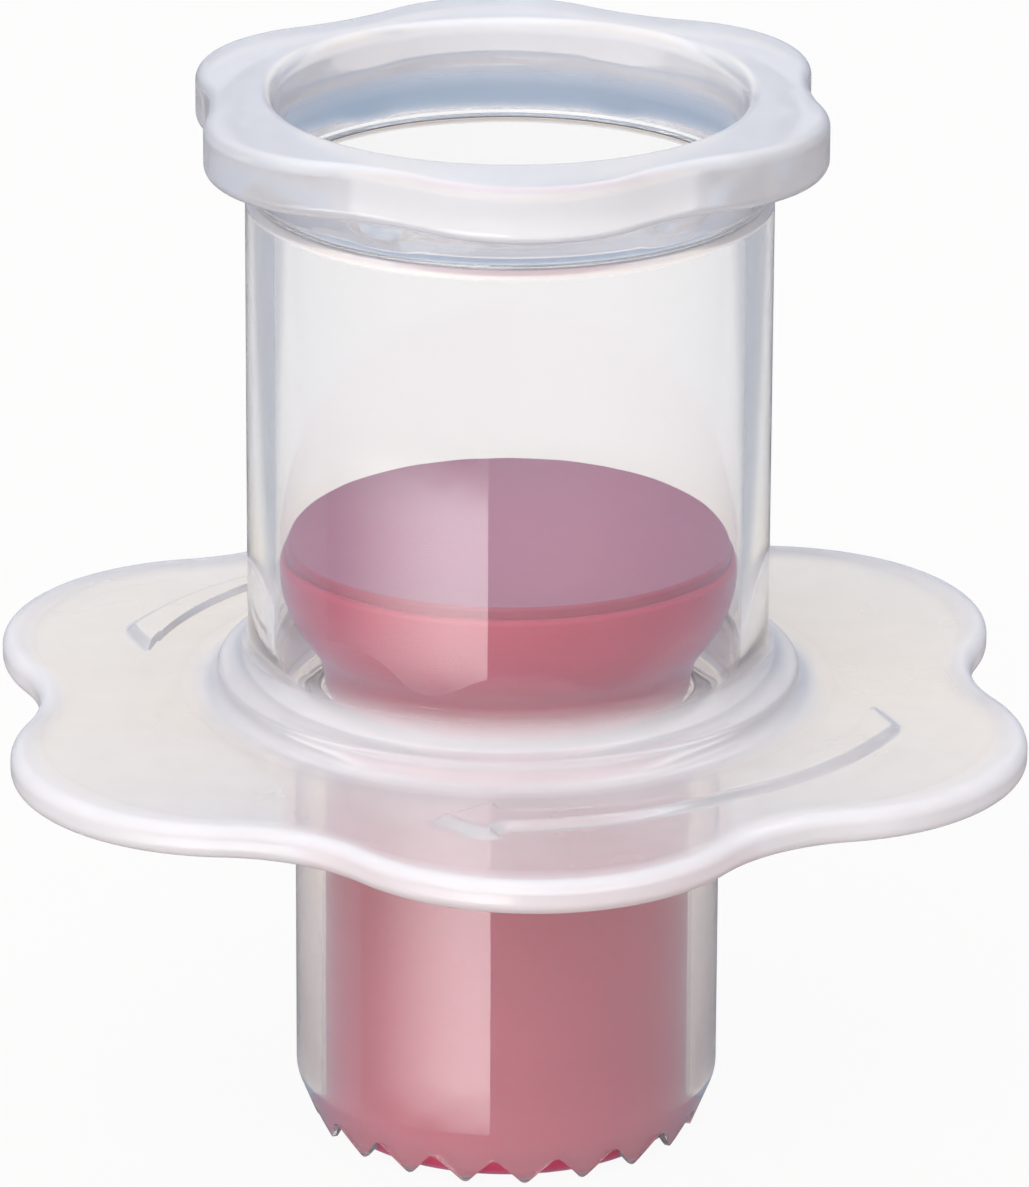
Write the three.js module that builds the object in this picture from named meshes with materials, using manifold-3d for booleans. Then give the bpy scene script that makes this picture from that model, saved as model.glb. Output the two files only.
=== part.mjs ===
import * as THREE from 'three';
import { mergeVertices } from 'three/addons/utils/BufferGeometryUtils.js';
import Module from 'manifold-3d';

// Cupcake corer: a translucent barrel with a flower-shaped stop flange and a toothed cutting tube,
// a flower-shaped collar on the barrel's mouth, and a red plunger that pushes the cake core out.
// Millimetres, +Z up the axis, tooth tips on z = 0, one flange lobe towards -Y.

// Cutting tube, from the tooth tips up to the flange
const CUT_DEPTH = 30.2;
const CORE_BORE_RADIUS = 13.1;
const CORE_WALL = 1.8;
const TOOTH_COUNT = 20;
const TOOTH_HEIGHT = 2;
const TOOTH_TIP_LAND = 0.3;
const TOOTH_VALLEY_LAND = 0.3;
const TOOTH_TURN = THREE.MathUtils.degToRad(1.3);
const BEVEL_HEIGHT = 3.7;
const TIP_WALL = 0.3;
const ROOT_FILLET = 1.5;

// Stop flange, six lobes joined by hollow arcs
const LOBE_COUNT = 6;
const FLANGE_THICKNESS = 2.4;
const FLANGE_REACH = 38.1;
const FLANGE_LOBE_RADIUS = 15.6;
const FLANGE_VALLEY_RADIUS = 13;
const FLANGE_EDGE_ROUND = 0.9;

// Barrel above the flange, with the boss it stands on and the spigot that takes the collar
const BARREL_BORE_RADIUS = 16.3;
const BARREL_WALL = 1.9;
const BARREL_HEIGHT = 36;
const BARREL_CHAMFER_HEIGHT = 1.8;
const BARREL_CHAMFER_WIDTH = 0.8;
const SHOULDER_THICKNESS = 1.9;
const SHOULDER_FILLET = 0.8;
const MOUTH_ROUND = 0.4;
const BOSS_WIDTH = 2.1;
const BOSS_HEIGHT = 1.7;
const BOSS_FLARE_HEIGHT = 3;
const BOSS_FOOT_FILLET = 1.4;
const SPIGOT_WALL = 0.7;
const SPIGOT_HEIGHT = 1.2;

// Collar on the barrel's mouth
const COLLAR_THICKNESS = 4;
const COLLAR_REACH = 22.9;
const COLLAR_LOBE_RADIUS = 10.9;
const COLLAR_VALLEY_RADIUS = 19.7;
const COLLAR_EDGE_ROUND = 0.9;
const COLLAR_MOUTH_ROUND = 1;
const COLLAR_NECK_HEIGHT = 3.1;
const COLLAR_NECK_WALL = 0.7;
const COLLAR_FLARE = 2.2;

// Plunger: a hollow cup whose stem fits the cutting tube and whose head fits the barrel.
// Its foot stands on the same surface as the teeth.
const STEM_LENGTH = 33.2;
const FOOT_ROUND = 1.2;
const PLUNGER_WALL = 1.6;
const HEAD_FLARE_ANGLE = THREE.MathUtils.degToRad(36.7);
const HEAD_NECK_RADIUS = 5.7;
const HEAD_BAND_HEIGHT = 0.4;
const HEAD_RIM_ROUND = 0.4;
const CAP_EDGE = 0.8;
const CAP_THICKNESS = 1.6;
const CAP_EDGE_ROUND = 0.3;
const CAP_SETBACK = 0.45;
const CAP_RING_WALL = 1.2;
const CAP_RING_DEPTH = 3;

// Clearances between pieces
const STEM_CLEARANCE = 0.3;
const HEAD_CLEARANCE = 0.35;
const SPIGOT_CLEARANCE = 0.1;
const CAP_CLEARANCE = 0.1;

// Facets: turned pieces have a whole number of facets to each tooth
const TURN_FACETS = TOOTH_COUNT * 2;
const ARC_FACETS = 4;
const OUTLINE_FACETS = 4;
const EDGE_FACETS = 3;
const OVERCUT = 1;

// Levels and radii worked out from the dimensions above
const CORE_RADIUS = CORE_BORE_RADIUS + CORE_WALL;
const BARREL_RADIUS = BARREL_BORE_RADIUS + BARREL_WALL;
const FLANGE_TOP = CUT_DEPTH + FLANGE_THICKNESS;
const SHOULDER_TOP = CUT_DEPTH + SHOULDER_THICKNESS;
const BARREL_TOP = FLANGE_TOP + BARREL_HEIGHT;
const SPIGOT_TOP = BARREL_TOP + SPIGOT_HEIGHT;
const SPIGOT_RADIUS = BARREL_BORE_RADIUS + SPIGOT_WALL;
const COLLAR_BASE = BARREL_TOP + SPIGOT_CLEARANCE;
const COLLAR_UNDERSIDE = COLLAR_BASE + COLLAR_NECK_HEIGHT;
const COLLAR_TOP = COLLAR_UNDERSIDE + COLLAR_THICKNESS;
const STEM_RADIUS = CORE_BORE_RADIUS - STEM_CLEARANCE;
const HEAD_RADIUS = BARREL_BORE_RADIUS - HEAD_CLEARANCE;
const HEAD_ARCS_RADIUS = (HEAD_RADIUS - STEM_RADIUS) / (1 - Math.cos(HEAD_FLARE_ANGLE));
const HEAD_BOWL_RADIUS = HEAD_ARCS_RADIUS - HEAD_NECK_RADIUS;
const HEAD_BOWL_CENTRE = HEAD_RADIUS - HEAD_BOWL_RADIUS;
const HEAD_BOWL_LEVEL = STEM_LENGTH + HEAD_ARCS_RADIUS * Math.sin(HEAD_FLARE_ANGLE);
const HEAD_RIM = HEAD_BOWL_LEVEL + HEAD_BAND_HEIGHT;

const wasm = await Module();
wasm.setup();

// Solid from a closed geometry: shared vertices are merged and empty triangles left out
function solidOf(geometry) {
  geometry.deleteAttribute('normal');
  geometry.deleteAttribute('uv');
  const merged = mergeVertices(geometry);
  const index = merged.index.array;
  const triangles = [];
  for (let i = 0; i < index.length; i += 3) {
    const [a, b, c] = index.slice(i, i + 3);
    if (a !== b && b !== c && c !== a) triangles.push(a, b, c);
  }
  const vertProperties = new Float32Array(merged.attributes.position.array);
  const triVerts = new Uint32Array(triangles);
  return new wasm.Manifold(new wasm.Mesh({ numProp: 3, vertProperties, triVerts }));
}

// Named mesh from a solid
function meshOf(name, solid, material) {
  const result = solid.getMesh();
  const geometry = new THREE.BufferGeometry();
  geometry.setAttribute('position', new THREE.BufferAttribute(result.vertProperties, 3));
  geometry.setIndex(new THREE.BufferAttribute(result.triVerts, 1));
  geometry.computeVertexNormals();
  const mesh = new THREE.Mesh(geometry, material);
  mesh.name = name;
  return mesh;
}

// Solid of revolution about Z from a profile of (radius, height) points that starts and ends on the axis
function turned(profile) {
  const points = profile.map(([radius, height]) => new THREE.Vector2(radius, height));
  return solidOf(new THREE.LatheGeometry(points, TURN_FACETS).rotateX(Math.PI / 2));
}

// Points of a profile arc about a centre, both end points included
function arc(centreRadius, centreHeight, radius, start, end) {
  const points = [];
  for (let i = 0; i <= ARC_FACETS; i += 1) {
    const angle = start + ((end - start) * i) / ARC_FACETS;
    points.push([centreRadius + radius * Math.cos(angle), centreHeight + radius * Math.sin(angle)]);
  }
  return points;
}

// Flower outline: round lobes of one radius, joined by hollow arcs that touch both neighbours
function flowerShape(reach, lobeRadius, valleyRadius) {
  const half = Math.PI / LOBE_COUNT;
  const lobeCentre = reach - lobeRadius;
  const touch = lobeRadius + valleyRadius;
  const across = lobeCentre * Math.sin(half);
  const valleyCentre = lobeCentre * Math.cos(half) + Math.sqrt(touch ** 2 - across ** 2);
  const lobeSweep = Math.atan2(valleyCentre * Math.sin(half), valleyCentre * Math.cos(half) - lobeCentre);
  const valleySweep = lobeSweep - half;
  const shape = new THREE.Shape();
  for (let i = 0; i < LOBE_COUNT; i += 1) {
    const lobe = -Math.PI / 2 + 2 * half * i;
    const valley = lobe + half;
    const lobeX = lobeCentre * Math.cos(lobe);
    const lobeY = lobeCentre * Math.sin(lobe);
    shape.absarc(lobeX, lobeY, lobeRadius, lobe - lobeSweep, lobe + lobeSweep, false);
    const back = valley + Math.PI;
    const valleyX = valleyCentre * Math.cos(valley);
    const valleyY = valleyCentre * Math.sin(valley);
    shape.absarc(valleyX, valleyY, valleyRadius, back + valleySweep, back - valleySweep, true);
  }
  return shape;
}

// Flower-shaped plate with a rounded edge, its underside at the given level
function flowerPlate(shape, thickness, edgeRound, underside) {
  const geometry = new THREE.ExtrudeGeometry(shape, {
    depth: thickness - 2 * edgeRound,
    curveSegments: OUTLINE_FACETS,
    bevelThickness: edgeRound,
    bevelSize: edgeRound,
    bevelOffset: -edgeRound,
    bevelSegments: EDGE_FACETS,
  });
  return solidOf(geometry.translate(0, 0, underside + edgeRound));
}

// Ring of V notches that leave the cutting teeth
function toothNotches() {
  const tipRadius = CORE_BORE_RADIUS + TIP_WALL;
  const pitch = (2 * Math.PI * tipRadius) / TOOTH_COUNT;
  const rise = (pitch - TOOTH_TIP_LAND - TOOTH_VALLEY_LAND) / 2 / TOOTH_HEIGHT;
  const mouth = TOOTH_VALLEY_LAND / 2 + rise * (TOOTH_HEIGHT + OVERCUT);
  const notch = new THREE.Shape();
  notch.moveTo(-mouth, -OVERCUT);
  notch.lineTo(mouth, -OVERCUT);
  notch.lineTo(TOOTH_VALLEY_LAND / 2, TOOTH_HEIGHT);
  notch.lineTo(-TOOTH_VALLEY_LAND / 2, TOOTH_HEIGHT);
  notch.closePath();
  const inner = CORE_BORE_RADIUS - OVERCUT;
  const depth = CORE_WALL + 2 * OVERCUT;
  let ring = null;
  for (let i = 0; i < TOOTH_COUNT; i += 1) {
    const turn = TOOTH_TURN + (2 * Math.PI * (i + 0.5)) / TOOTH_COUNT;
    const geometry = new THREE.ExtrudeGeometry(notch, { depth, bevelEnabled: false });
    geometry.translate(0, 0, inner).rotateX(Math.PI / 2).rotateZ(turn);
    const cutter = solidOf(geometry);
    ring = ring ? ring.add(cutter) : cutter;
  }
  return ring;
}

// Barrel, boss, flange and toothed cutting tube: one moulding
function corerBody() {
  const bossRadius = BARREL_RADIUS + BOSS_WIDTH;
  const bossTop = FLANGE_TOP + BOSS_HEIGHT;
  const flare = new THREE.QuadraticBezierCurve(
    new THREE.Vector2(bossRadius, bossTop),
    new THREE.Vector2(BARREL_RADIUS, bossTop),
    new THREE.Vector2(BARREL_RADIUS, bossTop + BOSS_FLARE_HEIGHT),
  ).getPoints(ARC_FACETS);
  const footRadius = bossRadius + BOSS_FOOT_FILLET;
  const footLevel = FLANGE_TOP + BOSS_FOOT_FILLET;
  const plateMiddle = CUT_DEPTH + FLANGE_THICKNESS / 2;
  const outside = turned([
    [0, 0],
    [CORE_BORE_RADIUS + TIP_WALL, 0],
    [CORE_RADIUS, BEVEL_HEIGHT],
    ...arc(CORE_RADIUS + ROOT_FILLET, CUT_DEPTH - ROOT_FILLET, ROOT_FILLET, Math.PI, Math.PI / 2),
    [CORE_RADIUS + ROOT_FILLET, plateMiddle],
    [footRadius, plateMiddle],
    ...arc(footRadius, footLevel, BOSS_FOOT_FILLET, -Math.PI / 2, -Math.PI),
    ...flare.map((point) => [point.x, point.y]),
    [BARREL_RADIUS, BARREL_TOP - BARREL_CHAMFER_HEIGHT],
    [BARREL_RADIUS - BARREL_CHAMFER_WIDTH, BARREL_TOP],
    [SPIGOT_RADIUS, BARREL_TOP],
    [SPIGOT_RADIUS, SPIGOT_TOP],
    [0, SPIGOT_TOP],
  ]);
  const cornerRadius = BARREL_BORE_RADIUS - SHOULDER_FILLET;
  const cornerLevel = SHOULDER_TOP + SHOULDER_FILLET;
  const inside = turned([
    [0, -OVERCUT],
    [CORE_BORE_RADIUS, -OVERCUT],
    ...arc(CORE_BORE_RADIUS + MOUTH_ROUND, SHOULDER_TOP - MOUTH_ROUND, MOUTH_ROUND, Math.PI, Math.PI / 2),
    ...arc(cornerRadius, cornerLevel, SHOULDER_FILLET, -Math.PI / 2, 0),
    [BARREL_BORE_RADIUS, SPIGOT_TOP + OVERCUT],
    [0, SPIGOT_TOP + OVERCUT],
  ]);
  const outline = flowerShape(FLANGE_REACH, FLANGE_LOBE_RADIUS, FLANGE_VALLEY_RADIUS);
  const flange = flowerPlate(outline, FLANGE_THICKNESS, FLANGE_EDGE_ROUND, CUT_DEPTH);
  return outside.add(flange).subtract(inside).subtract(toothNotches());
}

// Flower-shaped collar: its neck drops over the spigot and its seat rests on the spigot's end
function rimCollar() {
  const spigotBore = SPIGOT_RADIUS + SPIGOT_CLEARANCE;
  const neckRadius = spigotBore + COLLAR_NECK_WALL;
  const flareLevel = COLLAR_UNDERSIDE - COLLAR_FLARE;
  const plateMiddle = COLLAR_UNDERSIDE + COLLAR_THICKNESS / 2;
  const neck = turned([
    [0, COLLAR_BASE],
    [neckRadius, COLLAR_BASE],
    ...arc(neckRadius + COLLAR_FLARE, flareLevel, COLLAR_FLARE, Math.PI, Math.PI / 2),
    [neckRadius + COLLAR_FLARE, plateMiddle],
    [0, plateMiddle],
  ]);
  const roundRadius = BARREL_BORE_RADIUS + COLLAR_MOUTH_ROUND;
  const roundLevel = COLLAR_TOP - COLLAR_MOUTH_ROUND;
  const inside = turned([
    [0, COLLAR_BASE - OVERCUT],
    [spigotBore, COLLAR_BASE - OVERCUT],
    [spigotBore, SPIGOT_TOP],
    [BARREL_BORE_RADIUS, SPIGOT_TOP],
    ...arc(roundRadius, roundLevel, COLLAR_MOUTH_ROUND, Math.PI, Math.PI / 2),
    [roundRadius, COLLAR_TOP + OVERCUT],
    [0, COLLAR_TOP + OVERCUT],
  ]);
  const outline = flowerShape(COLLAR_REACH, COLLAR_LOBE_RADIUS, COLLAR_VALLEY_RADIUS);
  const plate = flowerPlate(outline, COLLAR_THICKNESS, COLLAR_EDGE_ROUND, COLLAR_UNDERSIDE);
  return neck.add(plate).subtract(inside);
}

// Side of the plunger from stem to head: a hollow neck arc, then a round bowl arc, moved in by a wall
function headSide(inset) {
  const neckCentre = STEM_RADIUS + HEAD_NECK_RADIUS;
  const neck = arc(neckCentre, STEM_LENGTH, HEAD_NECK_RADIUS + inset, Math.PI, Math.PI - HEAD_FLARE_ANGLE);
  const bowl = arc(HEAD_BOWL_CENTRE, HEAD_BOWL_LEVEL, HEAD_BOWL_RADIUS - inset, -HEAD_FLARE_ANGLE, 0);
  return [...neck, ...bowl.slice(1)];
}

// Hollow plunger cup, closed at the foot and open at the head
function plungerCup() {
  return turned([
    [0, 0],
    ...arc(STEM_RADIUS - FOOT_ROUND, FOOT_ROUND, FOOT_ROUND, -Math.PI / 2, 0),
    ...headSide(0),
    ...arc(HEAD_RADIUS - HEAD_RIM_ROUND, HEAD_RIM - HEAD_RIM_ROUND, HEAD_RIM_ROUND, 0, Math.PI / 2),
    [HEAD_RADIUS - PLUNGER_WALL, HEAD_RIM],
    ...headSide(PLUNGER_WALL).reverse(),
    [STEM_RADIUS - PLUNGER_WALL, PLUNGER_WALL],
    [0, PLUNGER_WALL],
  ]);
}

// Thumb cap: its edge sits on the cup's rim and the foot of its ring fits the cup's bore
function plungerCap() {
  const top = HEAD_RIM + CAP_EDGE;
  const ringFoot = HEAD_RIM - CAP_RING_DEPTH;
  const intoBowl = Math.max(0, HEAD_BOWL_LEVEL - ringFoot);
  const boreAtFoot = HEAD_BOWL_CENTRE + Math.sqrt((HEAD_BOWL_RADIUS - PLUNGER_WALL) ** 2 - intoBowl ** 2);
  const ringRadius = boreAtFoot - CAP_CLEARANCE;
  const edgeRadius = HEAD_RADIUS - CAP_SETBACK;
  return turned([
    [0, top - CAP_THICKNESS],
    [ringRadius - CAP_RING_WALL, top - CAP_THICKNESS],
    [ringRadius - CAP_RING_WALL, ringFoot],
    [ringRadius, ringFoot],
    [ringRadius, HEAD_RIM],
    [edgeRadius, HEAD_RIM],
    ...arc(edgeRadius - CAP_EDGE_ROUND, top - CAP_EDGE_ROUND, CAP_EDGE_ROUND, 0, Math.PI / 2),
    [0, top],
  ]);
}

const milky = new THREE.MeshStandardMaterial({ color: 0xe6e8ec, roughness: 0.25, metalness: 0 });
const red = new THREE.MeshStandardMaterial({ color: 0xc0242f, roughness: 0.3, metalness: 0 });

const corer = new THREE.Group();
corer.name = 'cupcake_corer';
corer.add(meshOf('corer_body', corerBody(), milky));
corer.add(meshOf('rim_collar', rimCollar(), milky));

const plunger = new THREE.Group();
plunger.name = 'plunger';
plunger.add(meshOf('plunger_cup', plungerCup(), red));
plunger.add(meshOf('plunger_cap', plungerCap(), red));
corer.add(plunger);

export default corer;
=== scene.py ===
import math

import bpy
import numpy as np
from mathutils import Matrix, Vector


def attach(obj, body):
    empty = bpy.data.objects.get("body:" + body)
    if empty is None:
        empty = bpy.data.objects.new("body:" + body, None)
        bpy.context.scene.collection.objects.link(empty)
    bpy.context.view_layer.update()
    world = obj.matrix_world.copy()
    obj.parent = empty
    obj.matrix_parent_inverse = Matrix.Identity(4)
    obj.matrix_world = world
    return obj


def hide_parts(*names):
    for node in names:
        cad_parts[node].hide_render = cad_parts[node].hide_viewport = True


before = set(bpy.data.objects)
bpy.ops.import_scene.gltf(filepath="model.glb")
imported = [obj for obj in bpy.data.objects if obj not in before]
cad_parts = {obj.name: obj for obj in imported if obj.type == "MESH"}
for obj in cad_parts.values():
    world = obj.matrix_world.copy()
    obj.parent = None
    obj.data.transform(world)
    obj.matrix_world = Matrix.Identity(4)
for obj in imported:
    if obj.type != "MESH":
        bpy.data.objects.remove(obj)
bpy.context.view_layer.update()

# One millimetre in metres
MM = 0.001

# The solids' own sizes: millimetres, radians and counts
CUT_DEPTH = 30.2
CORE_BORE_RADIUS = 13.1
CORE_WALL = 1.8
TOOTH_COUNT = 20
TOOTH_HEIGHT = 2.0
TOOTH_TURN = math.radians(1.3)
BEVEL_HEIGHT = 3.7
TIP_WALL = 0.3
ROOT_FILLET = 1.5
LOBE_COUNT = 6
FLANGE_THICKNESS = 2.4
FLANGE_REACH = 38.1
FLANGE_LOBE_RADIUS = 15.6
FLANGE_VALLEY_RADIUS = 13.0
FLANGE_EDGE_ROUND = 0.9
BARREL_BORE_RADIUS = 16.3
BARREL_WALL = 1.9
BARREL_HEIGHT = 36.0
SHOULDER_THICKNESS = 1.9
SHOULDER_FILLET = 0.8
MOUTH_ROUND = 0.4
BOSS_WIDTH = 2.1
BOSS_HEIGHT = 1.7
BOSS_FLARE_HEIGHT = 3.0
BOSS_FOOT_FILLET = 1.4
SPIGOT_WALL = 0.7
COLLAR_THICKNESS = 4.0
COLLAR_REACH = 22.9
COLLAR_LOBE_RADIUS = 10.9
COLLAR_VALLEY_RADIUS = 19.7
COLLAR_EDGE_ROUND = 0.9
COLLAR_MOUTH_ROUND = 1.0
COLLAR_NECK_HEIGHT = 3.1
COLLAR_NECK_WALL = 0.7
COLLAR_FLARE = 2.2
STEM_LENGTH = 33.2
FOOT_ROUND = 1.2
PLUNGER_WALL = 1.6
HEAD_FLARE_ANGLE = math.radians(36.7)
HEAD_NECK_RADIUS = 5.7
HEAD_BAND_HEIGHT = 0.4
HEAD_RIM_ROUND = 0.4
CAP_EDGE = 0.8
CAP_THICKNESS = 1.6
CAP_EDGE_ROUND = 0.3
CAP_SETBACK = 0.45
CAP_RING_WALL = 1.2
CAP_RING_DEPTH = 3.0
STEM_CLEARANCE = 0.3
HEAD_CLEARANCE = 0.35
SPIGOT_CLEARANCE = 0.1
CAP_CLEARANCE = 0.1

# Sizes of the scene alone, in millimetres: softer edges, and a low spigot and a slim chamfer under the collar
BARREL_CHAMFER_HEIGHT = 0.4
BARREL_CHAMFER_WIDTH = 0.35
CHAMFER_SOFTENING = 0.2
SPIGOT_HEIGHT = 0.1
COLLAR_NECK_FOOT = 0.3
BEVEL_END_ROUND = 0.5
BOSS_EDGE_ROUND = 0.4
EDGE_SOFTENING = 0.12
SEAM_SOFTENING = 0.04

# Shares of a length: how much of a tooth's flank is rounded at each end, and where the boss's flare starts
TOOTH_SOFTNESS = 0.16
BOSS_FLARE_START = 0.2

# Levels and radii worked out from the sizes above
CORE_RADIUS = CORE_BORE_RADIUS + CORE_WALL
BARREL_RADIUS = BARREL_BORE_RADIUS + BARREL_WALL
BOSS_RADIUS = BARREL_RADIUS + BOSS_WIDTH
SPIGOT_RADIUS = BARREL_BORE_RADIUS + SPIGOT_WALL
FLANGE_TOP = CUT_DEPTH + FLANGE_THICKNESS
BOSS_TOP = FLANGE_TOP + BOSS_HEIGHT
SHOULDER_TOP = CUT_DEPTH + SHOULDER_THICKNESS
BARREL_TOP = FLANGE_TOP + BARREL_HEIGHT
SPIGOT_TOP = BARREL_TOP + SPIGOT_HEIGHT
COLLAR_BASE = BARREL_TOP + SPIGOT_CLEARANCE
COLLAR_UNDERSIDE = COLLAR_BASE + COLLAR_NECK_HEIGHT
COLLAR_TOP = COLLAR_UNDERSIDE + COLLAR_THICKNESS
STEM_RADIUS = CORE_BORE_RADIUS - STEM_CLEARANCE
HEAD_RADIUS = BARREL_BORE_RADIUS - HEAD_CLEARANCE
HEAD_ARCS_RADIUS = (HEAD_RADIUS - STEM_RADIUS) / (1 - math.cos(HEAD_FLARE_ANGLE))
HEAD_BOWL_RADIUS = HEAD_ARCS_RADIUS - HEAD_NECK_RADIUS
HEAD_BOWL_CENTRE = HEAD_RADIUS - HEAD_BOWL_RADIUS
HEAD_BOWL_LEVEL = STEM_LENGTH + HEAD_ARCS_RADIUS * math.sin(HEAD_FLARE_ANGLE)
HEAD_RIM = HEAD_BOWL_LEVEL + HEAD_BAND_HEIGHT
FLANGE_OUTLINE = (FLANGE_REACH, FLANGE_LOBE_RADIUS, FLANGE_VALLEY_RADIUS)
COLLAR_OUTLINE = (COLLAR_REACH, COLLAR_LOBE_RADIUS, COLLAR_VALLEY_RADIUS)

# Raised twist arrows on the flange, in millimetres and degrees. Each has a share of the circle that starts
# ARROW_LEAD before a lobe. The angles are measured from that lobe, positive towards +X on the front one, and
# the radii of the arrow's two sides go with them: point, barbs, start, middle and end of the shaft, tail.
ARROW_COUNT = 2
ARROW_HEIGHT = 0.5
ARROW_OUTER_SLOPE = 0.9
ARROW_INNER_SLOPE = 0.12
ARROW_STEP = 0.15
ARROW_LEAD = 40.0
ARROW_ANGLES = (-15.0, -6.9, -5.3, 30.0, 66.0, 74.0)
ARROW_OUTSIDE = (27.4, 30.5, 28.7, 27.6, 29.0, 26.0)
ARROW_INSIDE = (27.4, 24.3, 25.7, 25.7, 25.7, 26.0)

# Mesh fineness: counts, and lengths in millimetres
COLUMNS_PER_TOOTH = 18
COLUMNS = TOOTH_COUNT * COLUMNS_PER_TOOTH
ARC_STEPS = 10
SMALL_ARC_STEPS = 5
CORNER_STEPS = 3
BEVEL_STEPS = 5
COLLAR_TOP_STEPS = 4
LONG_STRETCH = 0.6
LONGEST_STEP = 2.0
GUARD_DISTANCE = 0.1
AXIS_RADIUS = 1e-6
SHARP_EDGE = math.radians(35)
COLUMN_ANGLES = np.arange(COLUMNS) * (2 * math.pi / COLUMNS) + TOOTH_TURN


def ring(radius, level):
    """One ring of points: a radius and a height for every column."""
    return np.stack([np.broadcast_to(radius, COLUMNS), np.broadcast_to(level, COLUMNS)], axis=1)


def arc(centre_radius, centre_level, radius, start, end, steps=ARC_STEPS):
    """Rings along a profile arc, both ends included."""
    angles = np.linspace(start, end, steps + 1)
    return [ring(centre_radius + radius * math.cos(a), centre_level + radius * math.sin(a)) for a in angles]


def line(first, last, steps):
    """Rings from one ring to another, both left out."""
    return [first + (last - first) * (i / steps) for i in range(1, steps)]


def corner(before, at, after, size):
    """Rings that round a profile corner, given as three (radius, level) points."""
    before, at, after = (np.array(p, float) for p in (before, at, after))
    start = at + (before - at) / np.linalg.norm(before - at) * size
    end = at + (after - at) / np.linalg.norm(after - at) * size
    rings = []
    for t in np.linspace(0, 1, CORNER_STEPS + 1):
        point = (1 - t) ** 2 * start + 2 * t * (1 - t) * at + t ** 2 * end
        rings.append(ring(point[0], point[1]))
    return rings


def rise(value, start, end):
    """Smooth step from 0 at start to 1 at end."""
    t = np.clip((value - start) / (end - start), 0, 1)
    return t * t * (3 - 2 * t)


def rise_near(value, place, stretch):
    """Smooth step over a stretch that is given by its two distances from a place."""
    return rise(value, place + stretch[0], place + stretch[1])


def flower(reach, lobe_radius, valley_radius, inset):
    """Radius of a flower outline in every column, moved inwards by an inset."""
    half = math.pi / LOBE_COUNT
    lobe_centre = reach - lobe_radius
    touch = lobe_radius + valley_radius
    across = lobe_centre * math.sin(half)
    valley_centre = lobe_centre * math.cos(half) + math.sqrt(touch ** 2 - across ** 2)
    sweep = math.atan2(valley_centre * math.sin(half), valley_centre * math.cos(half) - lobe_centre)
    lobe = lobe_radius - inset
    valley = valley_radius + inset
    turn = np.abs((COLUMN_ANGLES + math.pi / 2 + half) % (2 * half) - half)
    change = math.atan2(lobe * math.sin(sweep), lobe_centre + lobe * math.cos(sweep))
    lobe_root = np.maximum(lobe ** 2 - (lobe_centre * np.sin(turn)) ** 2, 0)
    valley_root = np.maximum(valley ** 2 - (valley_centre * np.sin(half - turn)) ** 2, 0)
    on_lobe = lobe_centre * np.cos(turn) + np.sqrt(lobe_root)
    in_valley = valley_centre * np.cos(half - turn) - np.sqrt(valley_root)
    return np.where(turn < change, on_lobe, in_valley)


def flower_edge(outline, rounding, low, high):
    """Rings round the edge of a flower-shaped plate, from its underside to its top."""
    rings = []
    for a in np.linspace(-math.pi / 2, 0, ARC_STEPS + 1):
        radius = flower(*outline, rounding * (1 - math.cos(a)))
        rings.append(ring(radius, low + rounding * (1 + math.sin(a))))
    for a in np.linspace(0, math.pi / 2, ARC_STEPS + 1):
        radius = flower(*outline, rounding * (1 - math.cos(a)))
        rings.append(ring(radius, high - rounding * (1 - math.sin(a))))
    return rings


def arrow_rise(radius):
    """How far the twist arrows lift the flange's top at a radius, in every column."""
    from_front = np.degrees(COLUMN_ANGLES) + 90
    angle = (from_front + ARROW_LEAD) % (360 / ARROW_COUNT) - ARROW_LEAD
    outside = np.interp(angle, ARROW_ANGLES, ARROW_OUTSIDE)
    inside = np.interp(angle, ARROW_ANGLES, ARROW_INSIDE)
    slope = np.minimum((outside - radius) / ARROW_OUTER_SLOPE, (radius - inside) / ARROW_INNER_SLOPE)
    return ARROW_HEIGHT * rise(slope, 0, 1)


def guarded(rings, closed):
    """Rings with more along each long stretch, and close to its ends, so that it shades as straight."""
    result = []
    count = len(rings)
    for i, first in enumerate(rings):
        result.append(first)
        if i + 1 == count and not closed:
            break
        step = rings[(i + 1) % count] - first
        length = np.linalg.norm(step, axis=1).max()
        if length > LONG_STRETCH:
            share = GUARD_DISTANCE / length
            near = first + step * share
            far = first + step * (1 - share)
            result += [near] + line(near, far, math.ceil(length / LONGEST_STEP)) + [far]
    return result


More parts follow.
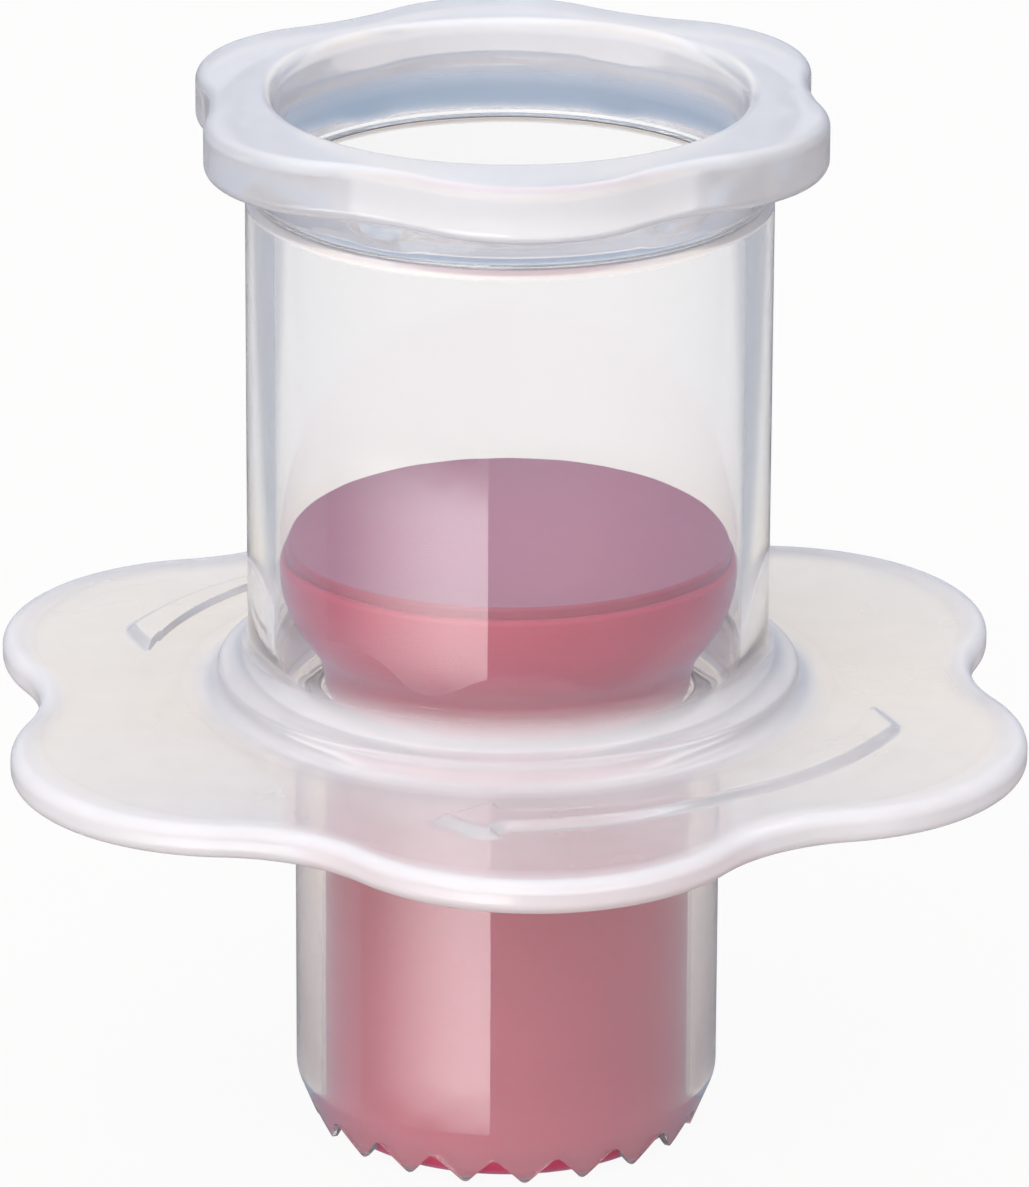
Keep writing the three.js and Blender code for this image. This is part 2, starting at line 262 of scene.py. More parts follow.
def skin(name, rings, material, clarity=None):
    """Mesh object from rings. Rings that start and end on the axis are closed by a point, others join up.
    clarity gives how clear the plastic is for each radius and level."""
    on_axis = rings[0][0, 0] < AXIS_RADIUS
    rings = guarded(rings, not on_axis)
    body = rings[1:-1] if on_axis else rings
    across = np.cos(COLUMN_ANGLES)
    along = np.sin(COLUMN_ANGLES)
    verts = np.concatenate([np.stack([r[:, 0] * across, r[:, 0] * along, r[:, 1]], 1) for r in body]) * MM
    count = len(body)
    here = np.arange(COLUMNS)
    there = (here + 1) % COLUMNS
    faces = []
    for i in range(count - 1 if on_axis else count):
        low = i * COLUMNS
        high = ((i + 1) % count) * COLUMNS
        faces += np.stack([low + here, low + there, high + there, high + here], 1).tolist()
    if on_axis:
        ends = np.array([[0, 0, rings[0][0, 1]], [0, 0, rings[-1][0, 1]]]) * MM
        first = len(verts)
        verts = np.concatenate([verts, ends])
        top = (count - 1) * COLUMNS
        faces += np.stack([np.full(COLUMNS, first), there, here], 1).tolist()
        faces += np.stack([np.full(COLUMNS, first + 1), top + here, top + there], 1).tolist()
    mesh = bpy.data.meshes.new(name)
    mesh.from_pydata(verts.tolist(), [], faces)
    if clarity:
        place = verts / MM
        values = clarity(np.hypot(place[:, 0], place[:, 1]), place[:, 2])
        attribute = mesh.attributes.new("clarity", "FLOAT", "POINT")
        attribute.data.foreach_set("value", values.astype(np.float32))
    return finished(name, mesh, material)


def finished(name, mesh, material):
    """Object of a mesh with smooth faces, edges kept where they are sharp."""
    mesh.validate()
    mesh.materials.append(material)
    mesh.shade_smooth()
    mesh.set_sharp_from_angle(angle=SHARP_EDGE)
    thing = bpy.data.objects.new(name, mesh)
    bpy.context.scene.collection.objects.link(thing)
    return thing


def tooth_edge():
    """Height of the toothed edge in every column: straight flanks with softened tips and valleys."""
    turn = (COLUMN_ANGLES - TOOTH_TURN - math.pi / 2) * TOOTH_COUNT / (2 * math.pi)
    flank = np.abs((turn + 0.5) % 1 - 0.5) * 2
    soft = TOOTH_SOFTNESS
    low = soft / 2 + flank ** 2 / (2 * soft)
    high = 1 - soft / 2 - (1 - flank) ** 2 / (2 * soft)
    shape = np.where(flank < soft, low, np.where(flank > 1 - soft, high, flank))
    return TOOTH_HEIGHT * (shape - soft / 2) / (1 - soft)


def core_rings(edge):
    """The cutting tube's outside, from the toothed edge over the bevel to the fillet under the flange."""
    tip = CORE_BORE_RADIUS + TIP_WALL
    slope = (CORE_RADIUS - tip) / BEVEL_HEIGHT
    edge_ring = ring(tip + slope * edge, edge)
    bevel_end = ring(CORE_RADIUS - slope * BEVEL_END_ROUND, BEVEL_HEIGHT - BEVEL_END_ROUND)
    rings = [edge_ring]
    rings += line(edge_ring, bevel_end, BEVEL_STEPS)
    rings += corner((tip, 0), (CORE_RADIUS, BEVEL_HEIGHT), (CORE_RADIUS, CUT_DEPTH), BEVEL_END_ROUND)
    fillet_level = CUT_DEPTH - ROOT_FILLET
    rings += arc(CORE_RADIUS + ROOT_FILLET, fillet_level, ROOT_FILLET, math.pi, math.pi / 2)
    return rings


def boss_rings():
    """The flange's top with its arrows, the boss and its flare into the barrel."""
    rings = []
    first = max(ARROW_OUTSIDE) + ARROW_STEP
    last = min(ARROW_INSIDE) - 2 * ARROW_STEP
    for radius in np.arange(first, last, -ARROW_STEP):
        rings.append(ring(radius, FLANGE_TOP + arrow_rise(radius)))
    fillet = BOSS_FOOT_FILLET
    rings += arc(BOSS_RADIUS + fillet, FLANGE_TOP + fillet, fillet, -math.pi / 2, -math.pi)
    boss_foot = (BOSS_RADIUS, FLANGE_TOP)
    boss_edge = (BOSS_RADIUS, BOSS_TOP)
    barrel_foot = (BARREL_RADIUS, BOSS_TOP)
    rings += corner(boss_foot, boss_edge, barrel_foot, BOSS_EDGE_ROUND)
    for t in np.linspace(BOSS_FLARE_START, 1, ARC_STEPS + 1):
        rings.append(ring(BARREL_RADIUS + BOSS_WIDTH * (1 - t) ** 2, BOSS_TOP + BOSS_FLARE_HEIGHT * t ** 2))
    return rings


def mouth_rings():
    """The barrel's chamfered top edge and the spigot on it, over to the bore."""
    wall = (BARREL_RADIUS, FLANGE_TOP)
    chamfer_foot = (BARREL_RADIUS, BARREL_TOP - BARREL_CHAMFER_HEIGHT)
    chamfer_top = (BARREL_RADIUS - BARREL_CHAMFER_WIDTH, BARREL_TOP)
    spigot_foot = (SPIGOT_RADIUS, BARREL_TOP)
    spigot_edge = (SPIGOT_RADIUS, SPIGOT_TOP)
    bore_edge = (BARREL_BORE_RADIUS, SPIGOT_TOP)
    bore = (BARREL_BORE_RADIUS, BARREL_TOP)
    rings = corner(wall, chamfer_foot, chamfer_top, CHAMFER_SOFTENING)
    rings += corner(chamfer_foot, chamfer_top, spigot_foot, EDGE_SOFTENING)
    rings.append(ring(*spigot_foot))
    rings += corner(spigot_foot, spigot_edge, bore_edge, SEAM_SOFTENING)
    rings += corner(spigot_edge, bore_edge, bore, SEAM_SOFTENING)
    return rings


def corer_rings():
    """Closed profile of the barrel, flange and cutting tube, up the outside and down the inside."""
    edge = tooth_edge()
    rings = core_rings(edge)
    rings += flower_edge(FLANGE_OUTLINE, FLANGE_EDGE_ROUND, CUT_DEPTH, FLANGE_TOP)
    rings += boss_rings()
    rings += mouth_rings()
    fillet = SHOULDER_FILLET
    rings += arc(BARREL_BORE_RADIUS - fillet, SHOULDER_TOP + fillet, fillet, 0, -math.pi / 2)
    mouth_centre = CORE_BORE_RADIUS + MOUTH_ROUND
    mouth_level = SHOULDER_TOP - MOUTH_ROUND
    rings += arc(mouth_centre, mouth_level, MOUTH_ROUND, math.pi / 2, math.pi, SMALL_ARC_STEPS)
    rings.append(ring(CORE_BORE_RADIUS, BEVEL_HEIGHT))
    rings.append(ring(CORE_BORE_RADIUS, edge))
    return rings


def collar_rings():
    """Closed profile of the collar, from the neck's foot up the outside and down the bore."""
    bore = SPIGOT_RADIUS + SPIGOT_CLEARANCE
    neck = bore + COLLAR_NECK_WALL
    inner_edge = flower(*COLLAR_OUTLINE, COLLAR_EDGE_ROUND) - EDGE_SOFTENING
    reach = np.minimum(neck + COLLAR_FLARE, inner_edge) - neck
    rings = corner((bore, COLLAR_BASE), (neck, COLLAR_BASE), (neck, COLLAR_TOP), EDGE_SOFTENING)
    foot = COLLAR_BASE + COLLAR_NECK_FOOT
    for t in np.linspace(0, 1, ARC_STEPS + 1):
        rings.append(ring(neck + reach * t, foot + (COLLAR_UNDERSIDE - foot) * (t + t * t) / 2))
    rings += flower_edge(COLLAR_OUTLINE, COLLAR_EDGE_ROUND, COLLAR_UNDERSIDE, COLLAR_TOP)
    mouth = BARREL_BORE_RADIUS + COLLAR_MOUTH_ROUND
    mouth_level = COLLAR_TOP - COLLAR_MOUTH_ROUND
    round_rings = arc(mouth, mouth_level, COLLAR_MOUTH_ROUND, math.pi / 2, math.pi)
    rings += line(rings[-1], round_rings[0], COLLAR_TOP_STEPS)
    rings += round_rings
    step = SPIGOT_TOP + SPIGOT_CLEARANCE
    mouth_top = (BARREL_BORE_RADIUS, COLLAR_TOP)
    mouth_foot = (BARREL_BORE_RADIUS, step)
    rings += corner(mouth_top, mouth_foot, (bore, step), SEAM_SOFTENING)
    rings.append(ring(bore, step))
    rings += corner((bore, step), (bore, COLLAR_BASE), (neck, COLLAR_BASE), SEAM_SOFTENING)
    return rings


def head_side(inset):
    """Plunger side from stem to head, moved in by a wall."""
    flare = HEAD_FLARE_ANGLE
    neck_centre = STEM_RADIUS + HEAD_NECK_RADIUS
    rings = arc(neck_centre, STEM_LENGTH, HEAD_NECK_RADIUS + inset, math.pi, math.pi - flare)
    rings += arc(HEAD_BOWL_CENTRE, HEAD_BOWL_LEVEL, HEAD_BOWL_RADIUS - inset, -flare, 0)[1:]
    return rings


def cup_rings():
    """Profile of the hollow plunger from the foot's middle round the rim to the inner foot's middle."""
    rings = [ring(0, 0)]
    rings += arc(STEM_RADIUS - FOOT_ROUND, FOOT_ROUND, FOOT_ROUND, -math.pi / 2, 0)
    rings += head_side(0)
    rim_centre = HEAD_RADIUS - HEAD_RIM_ROUND
    rings += arc(rim_centre, HEAD_RIM - HEAD_RIM_ROUND, HEAD_RIM_ROUND, 0, math.pi / 2)[1:]
    rings.append(ring(HEAD_RADIUS - PLUNGER_WALL, HEAD_RIM))
    rings += head_side(PLUNGER_WALL)[::-1]
    rings.append(ring(STEM_RADIUS - PLUNGER_WALL, PLUNGER_WALL))
    rings.append(ring(0, PLUNGER_WALL))
    return rings


def cap_rings():
    """Profile of the thumb cap from the middle of its underside to the middle of its top."""
    top = HEAD_RIM + CAP_EDGE
    foot = HEAD_RIM - CAP_RING_DEPTH
    bowl = HEAD_BOWL_RADIUS - PLUNGER_WALL
    bore_at_foot = HEAD_BOWL_CENTRE + math.sqrt(bowl ** 2 - (HEAD_BOWL_LEVEL - foot) ** 2)
    ring_radius = bore_at_foot - CAP_CLEARANCE
    edge = HEAD_RADIUS - CAP_SETBACK
    rings = [ring(0, top - CAP_THICKNESS)]
    rings.append(ring(ring_radius - CAP_RING_WALL, top - CAP_THICKNESS))
    rings.append(ring(ring_radius - CAP_RING_WALL, foot))
    rings.append(ring(ring_radius, foot))
    rings.append(ring(ring_radius, HEAD_RIM))
    rings.append(ring(edge, HEAD_RIM))
    rings += arc(edge - CAP_EDGE_ROUND, top - CAP_EDGE_ROUND, CAP_EDGE_ROUND, 0, math.pi / 2)
    rings.append(ring(0, top))
    return rings


# Share of light that goes straight through each surface: thick places look milkier
TUBE_CLARITY = 0.952
CORE_CLARITY = 0.915
FLANGE_CLARITY = 0.68
BOSS_CLARITY = 0.5
EDGE_CLARITY = 0.42
MOUTH_CLARITY = 0.45
COLLAR_CLARITY = 0.62
COLLAR_TOP_CLARITY = 0.42
NECK_CLARITY = 0.92

# Stretches over which one clarity turns into another, in millimetres from the place in each name
BOSS_STRETCH = (0.8, 2.2)
CORE_STRETCH = (0.5, 2.0)
FLANGE_TOP_STRETCH = (2.0, 5.0)
FLANGE_EDGE_STRETCH = (0.4, 2.2)
BARREL_TOP_STRETCH = (-0.7, -0.5)
CUT_DEPTH_STRETCH = (-2.0, 0.0)
COLLAR_STRETCH = (-0.6, 0.0)


def corer_clarity(radius, level):
    """Clear tubes, milkier flange and boss, milkiest flange edge and barrel top."""
    outline = np.tile(flower(*FLANGE_OUTLINE, 0), len(radius) // COLUMNS)
    boss = 1 - rise_near(radius, BOSS_RADIUS, BOSS_STRETCH)
    edge = 1 - rise(outline - radius, *FLANGE_EDGE_STRETCH)
    flange = FLANGE_CLARITY + (BOSS_CLARITY - FLANGE_CLARITY) * boss + (EDGE_CLARITY - FLANGE_CLARITY) * edge
    mouth = rise_near(level, BARREL_TOP, BARREL_TOP_STRETCH) * rise(radius, BARREL_BORE_RADIUS, SPIGOT_RADIUS)
    core = 1 - rise_near(level, CUT_DEPTH, CUT_DEPTH_STRETCH)
    tube = TUBE_CLARITY + (MOUTH_CLARITY - TUBE_CLARITY) * mouth + (CORE_CLARITY - TUBE_CLARITY) * core
    below_barrel = 1 - rise_near(level, FLANGE_TOP, FLANGE_TOP_STRETCH)
    outside = rise_near(radius, CORE_RADIUS, CORE_STRETCH) * below_barrel
    return tube + (flange - tube) * outside


def collar_clarity(radius, level):
    """A milky collar on a clearer neck, milkiest on its top."""
    plate = rise_near(level, COLLAR_UNDERSIDE, COLLAR_STRETCH)
    top = rise_near(level, COLLAR_TOP, COLLAR_STRETCH)
    neck = NECK_CLARITY + (COLLAR_CLARITY - NECK_CLARITY) * plate
    return neck + (COLLAR_TOP_CLARITY - neck) * top


# The part of a noise texture's values that is spread over a range, and how strongly relief shows
NOISE_LOW = 0.3
NOISE_HIGH = 0.7
BUMP_STRENGTH = 0.3


def new_material(name):
    """Empty node material, its node tree and its shader."""
    material = bpy.data.materials.new(name)
    material.use_nodes = True
    tree = material.node_tree
    return material, tree, tree.nodes["Principled BSDF"]


def noise(tree, scale, detail):
    """Noise over the object's own coordinates, with features of about 1/scale metres."""
    place = tree.nodes.new("ShaderNodeTexCoord")
    texture = tree.nodes.new("ShaderNodeTexNoise")
    texture.inputs["Scale"].default_value = scale
    texture.inputs["Detail"].default_value = detail
    tree.links.new(place.outputs["Object"], texture.inputs["Vector"])
    return texture.outputs["Fac"]


def spread(tree, value, low, high):
    """A noise value spread over a range."""
    node = tree.nodes.new("ShaderNodeMapRange")
    node.inputs["From Min"].default_value = NOISE_LOW
    node.inputs["From Max"].default_value = NOISE_HIGH
    node.inputs["To Min"].default_value = low
    node.inputs["To Max"].default_value = high
    tree.links.new(value, node.inputs["Value"])
    return node.outputs["Result"]


def fade(tree, value, start, end):
    """Smooth share of a value, 0 at start and 1 at end."""
    node = tree.nodes.new("ShaderNodeMapRange")
    node.interpolation_type = "SMOOTHSTEP"
    node.inputs["From Min"].default_value = start
    node.inputs["From Max"].default_value = end
    tree.links.new(value, node.inputs["Value"])
    return node.outputs["Result"]


def math_node(tree, operation, first, second):
    """Sum, product or other combination of two values, each a socket or a number."""
    node = tree.nodes.new("ShaderNodeMath")
    node.operation = operation
    for socket, value in zip(node.inputs, (first, second)):
        if isinstance(value, (int, float)):
            socket.default_value = value
        else:
            tree.links.new(value, socket)
    return node.outputs["Value"]


def blend_colours(tree, share, first, second):
    """Mix of two colours, the first one a socket or a colour."""
    node = tree.nodes.new("ShaderNodeMix")
    node.data_type = "RGBA"
    tree.links.new(share, node.inputs["Factor"])
    if isinstance(first, tuple):
        node.inputs["A"].default_value = first
    else:
        tree.links.new(first, node.inputs["A"])
    node.inputs["B"].default_value = second
    return node.outputs["Result"]


def bump(tree, shader, value, distance):
    """Small relief on a shader's surface."""
    node = tree.nodes.new("ShaderNodeBump")
    node.inputs["Strength"].default_value = BUMP_STRENGTH
    node.inputs["Distance"].default_value = distance
    tree.links.new(value, node.inputs["Height"])
    tree.links.new(node.outputs["Normal"], shader.inputs["Normal"])


# Translucent plastic: noise patterns as (features per metre, detail), the rest as shares and metres
FLOW_MARKS = (90, 3)
FLOW_DEPTH = 0.03
WALL_GRAIN = (300, 4)
WALL_GRAIN_DEPTH = 0.015
WALL_WAVES = (120, 2)
WALL_WAVE_HEIGHT = 0.00005
MILKY_IOR = 1.49
MILKY_HAZE = 0.18
CLEAR_COLOUR = (0.985, 0.98, 0.98, 1)
BODY_MILK = (0.94, 0.915, 0.925, 1)
BODY_HAZE = 0.015
# The collar's milk is greyer than the body's: painted shade on the collar, which is the same plastic
COLLAR_MILK_WITH_PAINTED_SHADE = (0.82, 0.81, 0.83, 1)
COLLAR_HAZE = 0.05

# Clarity at which the plastic is as clear, and as milky, as it gets, and from which on it is hazy
CLEAREST = 0.9
MILKIEST = 0.5
HAZE_START = 0.7


def milky_plastic(name, milk_and_painted_shade, surface_haze):
    """Translucent plastic, milkier where it is thick, with a little haze and faint flow marks."""
    material, tree, shader = new_material(name)
    attribute = tree.nodes.new("ShaderNodeAttribute")
    attribute.attribute_name = "clarity"
    clarity = attribute.outputs["Fac"]
    milky_share = fade(tree, clarity, CLEAREST, MILKIEST)
    colour = blend_colours(tree, milky_share, CLEAR_COLOUR, milk_and_painted_shade)
    tree.links.new(colour, shader.inputs["Base Color"])
    flow = spread(tree, noise(tree, *FLOW_MARKS), -FLOW_DEPTH, FLOW_DEPTH)
    streaks = math_node(tree, "MULTIPLY", flow, fade(tree, clarity, TUBE_CLARITY, FLANGE_CLARITY))
    tree.links.new(math_node(tree, "ADD", clarity, streaks), shader.inputs["Transmission Weight"])
    shader.inputs["IOR"].default_value = MILKY_IOR
    haze = math_node(tree, "MULTIPLY", fade(tree, clarity, HAZE_START, MILKIEST), MILKY_HAZE)
    grain = spread(tree, noise(tree, *WALL_GRAIN), surface_haze, surface_haze + WALL_GRAIN_DEPTH)
    tree.links.new(math_node(tree, "ADD", haze, grain), shader.inputs["Roughness"])
    bump(tree, shader, noise(tree, *WALL_WAVES), WALL_WAVE_HEIGHT)
    return material


# Red plastic, in the same units
RED_CLOUDS = (160, 3)
RED_GRAIN = (500, 4)
RED_PITS = (2500, 2)
RED_PIT_DEPTH = 0.00003
RED_ROUGHNESS = (0.31, 0.39)
RED_IOR = 1.5
SHEEN_WEIGHT = 0.6
SHEEN_TINT = (0.55, 0.65, 1.0, 1)
SHEEN_ROUGHNESS = 0.5
CUP_REDS = ((0.66, 0.042, 0.118, 1), (0.72, 0.05, 0.128, 1))
# The cap's reds are darker than the cup's: painted shade on the cap's top, which is lit less than the cup's
# side
CAP_REDS_WITH_PAINTED_SHADE = ((0.45, 0.03, 0.095, 1), (0.51, 0.04, 0.105, 1))


def red_plastic(name, reds):
    """Opaque red plastic, semi-gloss, slightly uneven between two reds."""
    material, tree, shader = new_material(name)
    tree.links.new(blend_colours(tree, noise(tree, *RED_CLOUDS), *reds), shader.inputs["Base Color"])
    shader.inputs["IOR"].default_value = RED_IOR
    shader.inputs["Sheen Weight"].default_value = SHEEN_WEIGHT
    shader.inputs["Sheen Tint"].default_value = SHEEN_TINT
    shader.inputs["Sheen Roughness"].default_value = SHEEN_ROUGHNESS
    tree.links.new(spread(tree, noise(tree, *RED_GRAIN), *RED_ROUGHNESS), shader.inputs["Roughness"])
    bump(tree, shader, noise(tree, *RED_PITS), RED_PIT_DEPTH)
    return material


body_plastic = milky_plastic("body_plastic", BODY_MILK, BODY_HAZE)
# The body's plastic with greyer milk as painted shade on the collar
collar_plastic_with_painted_shade = milky_plastic("collar_plastic_with_painted_shade", COLLAR_MILK_WITH_PAINTED_SHADE, COLLAR_HAZE)
cup_red = red_plastic("cup_red", CUP_REDS)
# Same red plastic as the cup, with darker reds as painted shade on the cap's top
cap_red_with_painted_shade = red_plastic("cap_red_with_painted_shade", CAP_REDS_WITH_PAINTED_SHADE)

corer_body = skin("corer_body_smooth", corer_rings(), body_plastic, corer_clarity)
rim_collar = skin("rim_collar_smooth", collar_rings(), collar_plastic_with_painted_shade, collar_clarity)
plunger_cup = skin("plunger_cup_smooth", cup_rings(), cup_red)
plunger_cap = skin("plunger_cap_smooth", cap_rings(), cap_red_with_painted_shade)

for piece, body, node, slot in (
    (corer_body, "corer", "corer_body", "milky_plastic"),
    (rim_collar, "corer", "rim_collar", "milky_plastic"),
    (plunger_cup, "plunger", "plunger_cup", "red_plastic"),
    (plunger_cap, "plunger", "plunger_cap", "red_plastic"),
):
    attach(piece, body)
    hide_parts(node)

# The stage, in metres and degrees, is turned with the camera against the object
VIEW_TURN = -4.5
MIDDLE = Vector((0, 0, 0.04))

# Table: white to the eye where no shadow falls. Through the clear plastic it glows with painted light
# instead: a painted warm glow near the object that turns white further off, painted shade to the sides and
# the front, and its real shade close to the object.
TABLE_HALF_SIDE = 0.9
TABLE_LEVEL = -0.00005
TABLE_COLOUR = (0.60, 0.54, 0.50, 1)
TABLE_ROUGHNESS = 0.9
WHITE_SHARE = 0.93
PAINTED_WARM_GLOW = (1.0, 0.86, 0.63, 1)
GLOW_WHITE = (1.0, 1.0, 1.0, 1)
PAINTED_SHADE_SIDES = (0.52, 0.55, 0.61, 1)
PAINTED_SHADE_FRONT = (0.70, 0.68, 0.66, 1)
CREAM_TO_WHITE = (0.09, 0.15)
GLOW_TO_SIDE_SHADE = (0.07, 0.1)
GLOW_TO_FRONT_SHADE = (-0.03, -0.08)
SHADE_TO_GLOW = (0.045, 0.085)


def table_material():
    """White table top that keeps the object's shadow, glowing with painted light and painted shade where
    clear plastic shows it.
    """
    material, tree, shader = new_material("white_table")
    shader.inputs["Base Color"].default_value = TABLE_COLOUR
    shader.inputs["Roughness"].default_value = TABLE_ROUGHNESS
    shader.inputs["Specular IOR Level"].default_value = 0
    path = tree.nodes.new("ShaderNodeLightPath")
    eye = path.outputs["Is Camera Ray"]
    place = tree.nodes.new("ShaderNodeTexCoord")
    split = tree.nodes.new("ShaderNodeSeparateXYZ")
    length = tree.nodes.new("ShaderNodeVectorMath")
    length.operation = "LENGTH"
    tree.links.new(place.outputs["Object"], split.inputs["Vector"])
    tree.links.new(place.outputs["Object"], length.inputs[0])
    distance = length.outputs["Value"]
    aside = math_node(tree, "ABSOLUTE", split.outputs["X"], 0)
    # Painted light seen through the plastic: a warm glow near the object, white further off, painted shade to
    # the sides and the front
    painted_glow = blend_colours(tree, fade(tree, distance, *CREAM_TO_WHITE), PAINTED_WARM_GLOW, GLOW_WHITE)
    painted_glow = blend_colours(tree, fade(tree, aside, *GLOW_TO_SIDE_SHADE), painted_glow, PAINTED_SHADE_SIDES)
    painted_glow = blend_colours(tree, fade(tree, split.outputs["Y"], *GLOW_TO_FRONT_SHADE), painted_glow, PAINTED_SHADE_FRONT)
    painted_glow = blend_colours(tree, eye, painted_glow, GLOW_WHITE)
    glow = tree.nodes.new("ShaderNodeEmission")
    tree.links.new(painted_glow, glow.inputs["Color"])
    out_of_shade = fade(tree, distance, *SHADE_TO_GLOW)
    through = math_node(tree, "MULTIPLY", out_of_shade, path.outputs["Is Transmission Ray"])
    share = math_node(tree, "ADD", math_node(tree, "MULTIPLY", eye, WHITE_SHARE), through)
    seen = tree.nodes.new("ShaderNodeMixShader")
    tree.links.new(share, seen.inputs["Fac"])
    tree.links.new(shader.outputs["BSDF"], seen.inputs[1])
    tree.links.new(glow.outputs["Emission"], seen.inputs[2])
    tree.links.new(seen.outputs["Shader"], tree.nodes["Material Output"].inputs["Surface"])
    return material


def table():
    """Square table top under the object, turned with the camera and not mirrored in the plastic."""
    side = TABLE_HALF_SIDE
    corners = [(-side, -side), (side, -side), (side, side), (-side, side)]
    mesh = bpy.data.meshes.new("table")
    mesh.from_pydata([(x, y, TABLE_LEVEL) for x, y in corners], [], [(0, 1, 2, 3)])
    mesh.materials.append(table_material())
    top = bpy.data.objects.new("table", mesh)
    top.rotation_euler.z = math.radians(VIEW_TURN)
    bpy.context.scene.collection.objects.link(top)
    top.visible_glossy = False
    top.visible_shadow = False


# Camera: fitted to the photograph, the object turned a little on its axis
CAMERA_PLACE = Vector((0.00044, -0.5865, 0.2562))
CAMERA_PITCH = math.radians(20.32)
CAMERA_ROLL = math.radians(0.27)
CAMERA_LENS = 313.5
SENSOR_WIDTH = 36.0
CLIP_START = 0.01


def photo_camera():
    """Camera at the photograph's place, turned round the object by VIEW_TURN."""
    forward = Vector((0, math.cos(CAMERA_PITCH), -math.sin(CAMERA_PITCH)))
    right = Vector((1, 0, 0))
    up = right.cross(forward)
    tilted_right = right * math.cos(CAMERA_ROLL) + up * math.sin(CAMERA_ROLL)
    tilted_up = up * math.cos(CAMERA_ROLL) - right * math.sin(CAMERA_ROLL)
    facing = Matrix((tilted_right, tilted_up, -forward)).transposed().to_4x4()
    turn = Matrix.Rotation(math.radians(VIEW_TURN), 4, "Z")
    data = bpy.data.cameras.new("camera")
    data.sensor_fit = "HORIZONTAL"
    data.sensor_width = SENSOR_WIDTH
    data.lens = CAMERA_LENS
    data.clip_start = CLIP_START
    camera = bpy.data.objects.new("camera", data)
    camera.matrix_world = turn @ Matrix.Translation(CAMERA_PLACE) @ facing
    bpy.context.scene.collection.objects.link(camera)
    bpy.context.scene.camera = camera


def around(azimuth, distance, level):
    """Place at an azimuth from the camera's side, in degrees, positive to the right."""
    a = math.radians(azimuth + VIEW_TURN)
    return Vector((distance * math.sin(a), -distance * math.cos(a), level))


# Soft lamps above the object and at the front left: metres, and brightness as radiance
TOP_BOX_PLACE = Vector((0, 0.1, 0.75))
TOP_BOX_SIDE = 0.8
TOP_BOX_RADIANCE = 0.5
FRONT_BOX_PLACE = around(azimuth=-25, distance=0.9, level=0.55)
FRONT_BOX_SIDE = 0.9
FRONT_BOX_RADIANCE = 2.4


def softbox(name, place, side, radiance):
    """Soft square lamp of a given brightness, facing the object's middle."""
    lamp = bpy.data.lights.new(name, "AREA")
    lamp.shape = "SQUARE"
    lamp.size = side
    lamp.energy = radiance * math.pi * side ** 2
    thing = bpy.data.objects.new(name, lamp)
    thing.location = place
    thing.rotation_euler = (MIDDLE - place).to_track_quat("-Z", "Y").to_euler()
    bpy.context.scene.collection.objects.link(thing)
    return thing


# Cards beside the object: metres, counts, and azimuths in degrees from the camera's side
CARD_DISTANCE = 0.4
CARD_STRIPS = 40
CARD_ROWS = 16
CARD_START = -8.5
CARD_FADE = -18
CARD_END = -85


def card(name, level, half_height, softness, radiance):
    """Upright glowing card bent round the object's left side, seen in its glossy walls only. It starts
    sharply beside the camera and fades out towards its far end, its top and its foot."""
    turns = np.linspace(CARD_START, CARD_END, CARD_STRIPS + 1)
    levels = np.linspace(level - half_height, level + half_height, CARD_ROWS + 1)
    across = 1 - rise(turns, CARD_FADE, CARD_END)
    upright = 1 - rise(np.abs(levels - level), half_height - softness, half_height)
    points = [around(a, CARD_DISTANCE, z) for a in turns for z in levels]
    row = CARD_ROWS + 1
    firsts = [i * row + j for i in range(CARD_STRIPS) for j in range(CARD_ROWS)]
    mesh = bpy.data.meshes.new(name)
    mesh.from_pydata(points, [], [(first, first + row, first + row + 1, first + 1) for first in firsts])
    values = (radiance * np.outer(across, upright)).ravel()
    mesh.attributes.new("radiance", "FLOAT", "POINT").data.foreach_set("value", values.astype(np.float32))
    material, tree, shader = new_material(name)
    tree.nodes.remove(shader)
    glow = tree.nodes.new("ShaderNodeEmission")
    strength = tree.nodes.new("ShaderNodeAttribute")
    strength.attribute_name = "radiance"
    tree.links.new(strength.outputs["Fac"], glow.inputs["Strength"])
    tree.links.new(glow.outputs["Emission"], tree.nodes["Material Output"].inputs["Surface"])
    mesh.materials.append(material)
    thing = bpy.data.objects.new(name, mesh)
    thing.visible_camera = False
    thing.visible_diffuse = False
    thing.visible_transmission = False
    bpy.context.scene.collection.objects.link(thing)


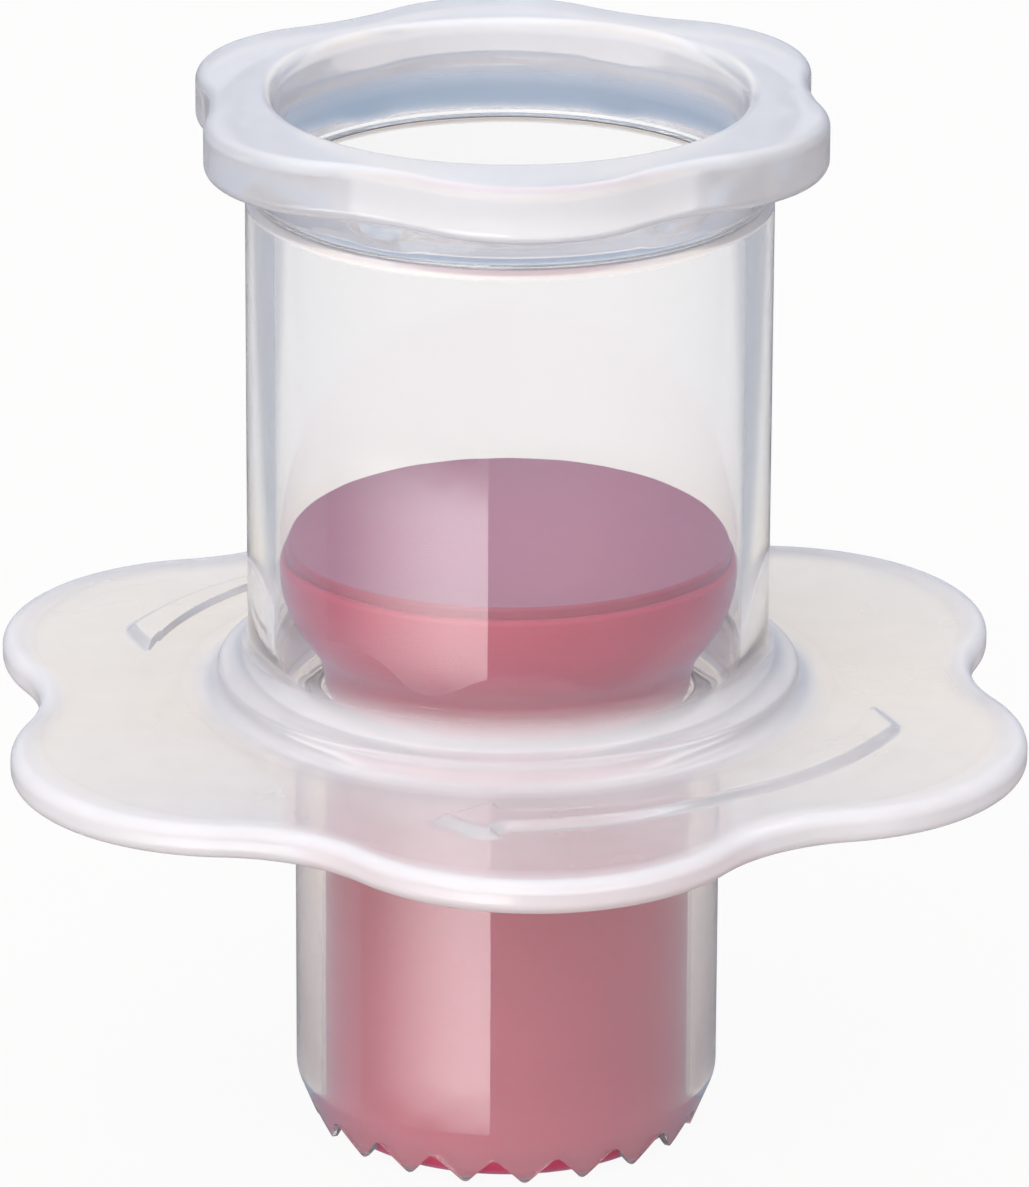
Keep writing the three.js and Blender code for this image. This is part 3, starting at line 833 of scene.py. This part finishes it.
# Light from all round: bright from the front, blue-grey from the back. The stretches are parts of a
# direction's depth, from the front at -1 to the back at 1, and of its height.
FRONT_LIGHT = (1.0, 0.99, 1.03, 1)
BACK_LIGHT = (0.27, 0.37, 0.52, 1)
TOP_LIGHT = (1.0, 1.02, 1.08, 1)
LOW_LIGHT = (0.28, 0.28, 0.32, 1)
FRONT_TO_BACK = (-0.4, 0.8)
SIDES_TO_TOP = (0.1, 0.8)
SIDES_TO_LOW = (0.0, -0.25)


def surroundings():
    """World: white to the eye, and soft light from all round for everything else."""
    world = bpy.data.worlds.new("studio")
    world.use_nodes = True
    bpy.context.scene.world = world
    tree = world.node_tree
    place = tree.nodes.new("ShaderNodeTexCoord")
    split = tree.nodes.new("ShaderNodeSeparateXYZ")
    tree.links.new(place.outputs["Generated"], split.inputs["Vector"])
    depth = fade(tree, split.outputs["Y"], *FRONT_TO_BACK)
    height = fade(tree, split.outputs["Z"], *SIDES_TO_TOP)
    below = fade(tree, split.outputs["Z"], *SIDES_TO_LOW)
    light = blend_colours(tree, depth, FRONT_LIGHT, BACK_LIGHT)
    light = blend_colours(tree, height, light, TOP_LIGHT)
    light = blend_colours(tree, below, light, LOW_LIGHT)
    soft = tree.nodes["Background"]
    tree.links.new(light, soft.inputs["Color"])
    white = tree.nodes.new("ShaderNodeBackground")
    white.inputs["Color"].default_value = (1, 1, 1, 1)
    path = tree.nodes.new("ShaderNodeLightPath")
    pick = tree.nodes.new("ShaderNodeMixShader")
    tree.links.new(path.outputs["Is Camera Ray"], pick.inputs["Fac"])
    tree.links.new(soft.outputs["Background"], pick.inputs[1])
    tree.links.new(white.outputs["Background"], pick.inputs[2])
    tree.links.new(pick.outputs["Shader"], tree.nodes["World Output"].inputs["Surface"])


table()
photo_camera()
softbox("top_box", TOP_BOX_PLACE, TOP_BOX_SIDE, TOP_BOX_RADIANCE)
front_box = softbox("front_box", FRONT_BOX_PLACE, FRONT_BOX_SIDE, FRONT_BOX_RADIANCE)
front_box.visible_glossy = False
card("left_card_for_barrel", level=-0.0945, half_height=0.0165, softness=0.008, radiance=6.3)
card("left_card_for_core", level=-0.14, half_height=0.027, softness=0.006, radiance=7.0)
surroundings()
bpy.context.scene.view_settings.view_transform = "Standard"
